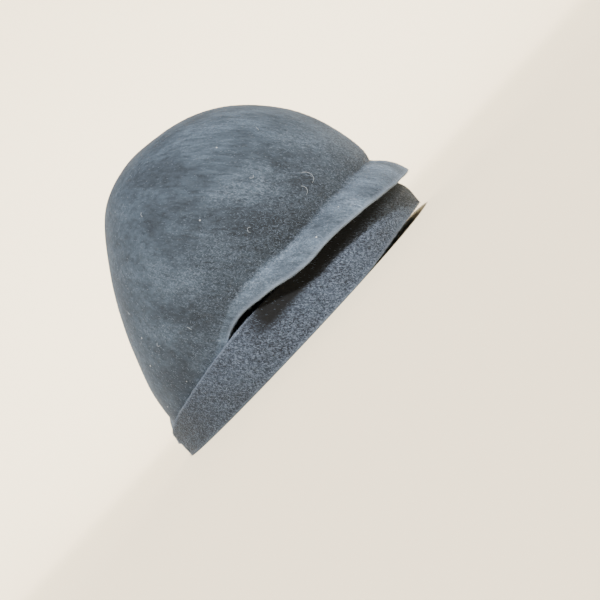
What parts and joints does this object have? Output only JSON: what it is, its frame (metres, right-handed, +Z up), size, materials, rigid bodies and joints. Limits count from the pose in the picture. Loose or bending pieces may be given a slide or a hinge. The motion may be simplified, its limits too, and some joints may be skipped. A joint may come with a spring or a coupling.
{
  "type": "cloche hat",
  "caption": "Black wool felt cloche hat: close blocked crown whose front edge flares into a lip over a separate curved brim band, open at the nape.",
  "frame": {"origin": "on the floor under the middle of the hat's footprint, with the hat standing on the lower edge of its brim", "axes": "+Z up through the crown, -Y towards the front of the hat, +X towards the wearer's left"},
  "size_m": [0.1822, 0.2294, 0.152],
  "materials": {
    "crown_felt": "black wool felt, short brushed nap",
    "brim_felt": "black wool felt, short dense nap"
  },
  "bodies": {
    "root": {"crown": "crown_felt", "brim": "brim_felt"}
  },
  "joints": []
}
